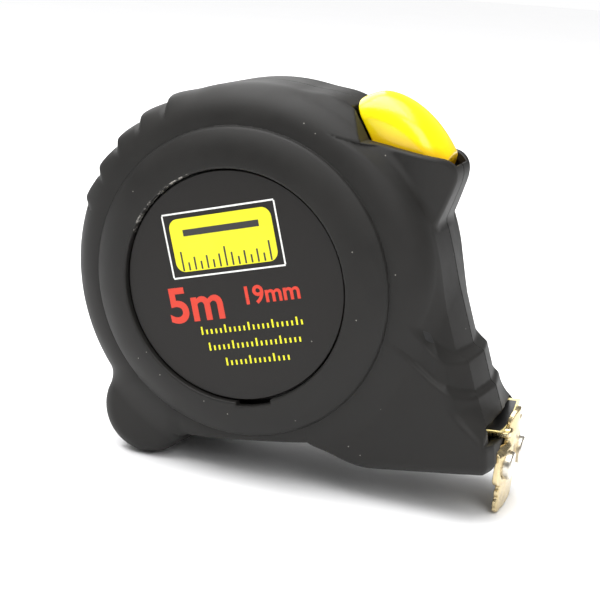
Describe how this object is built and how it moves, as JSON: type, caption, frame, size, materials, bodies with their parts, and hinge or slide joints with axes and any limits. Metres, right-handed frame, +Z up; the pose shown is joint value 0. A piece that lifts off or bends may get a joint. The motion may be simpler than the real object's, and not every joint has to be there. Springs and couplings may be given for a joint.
{
  "type": "tape measure",
  "caption": "Pocket tape measure in a black rubber jacket with round side rings, push-button lock, curved blade and toothed end hook.",
  "frame": {"origin": "middle of the flat foot under the nose", "axes": "+X out of the mouth, -Y towards the label side, +Z up"},
  "size_m": [0.0842, 0.0392, 0.0804],
  "materials": {
    "jacket": "soft-touch rubber, fine matte grain",
    "shell": "moulded ABS",
    "label": "semi-gloss printed disc",
    "steel": "plain turned steel",
    "spool": "natural acetal",
    "spring_steel": "blued spring steel",
    "blade": "yellow lacquered spring steel with printed scale",
    "nickel": "warm nickel plate",
    "rivet": "pressed rivet",
    "magnet": "nickelled magnet",
    "button": "glossy moulded yellow",
    "pad": "brake rubber",
    "screw": "zinc-plated screw",
    "clip": "bright spring strip"
  },
  "bodies": {
    "case": {"grip_left": "jacket", "grip_right": "jacket", "case_left": "shell", "case_right": "shell", "label_left": "label", "label_right": "label", "centre_post": "steel", "reel_washers": "steel", "mainspring": "spring_steel", "button_spring": "spring_steel", "lever_pin": "steel", "mouth_guide": "steel", "strike_plate": "nickel", "case_screws": "screw", "belt_clip": "clip", "clip_screw": "screw", "clip_washer": "screw"},
    "spool": {"reel": "spool", "reel_cap": "spool", "blade_coil": "blade"},
    "blade": {"blade_lead": "blade", "hook_rivets": "rivet"},
    "end_hook": {"hook": "nickel", "hook_magnets": "magnet"},
    "button": {"lock_button": "button"},
    "lever": {"lock_lever": "spool", "brake_pad": "pad"}
  },
  "joints": [
    {"name": "reel_spin", "type": "hinge", "parent": "case", "child": "spool", "pos_m": [-0.032, 0, 0.0348], "axis": [0, -1, 0], "range_deg": [0, 107.28], "deforming": ["mainspring"]},
    {"name": "blade_pull", "type": "slide", "parent": "case", "child": "blade", "axis": [0.9986, 0, -0.0523], "range_m": [0, 0.0441]},
    {"name": "hook_float", "type": "slide", "parent": "blade", "child": "end_hook", "axis": [0.9986, 0, -0.0523], "range_m": [0, 0.001]},
    {"name": "button_push", "type": "slide", "parent": "case", "child": "button", "axis": [-0.284, 0, -0.9588], "range_m": [0, 0.003], "stiffness_N_per_m": 400, "springref_m": -0.003, "deforming": ["button_spring"]},
    {"name": "lever_swing", "type": "hinge", "parent": "case", "child": "lever", "pos_m": [-0.0035, 0, 0.0248], "axis": [0, -1, 0], "range_deg": [0, 4.25]}
  ],
  "couplings": [
    {"joint": "blade_pull", "follows": "reel_spin", "m_per_rad": 0.0235},
    {"joint": "lever_swing", "follows": "button_push", "rad_per_m": 24.433}
  ]
}
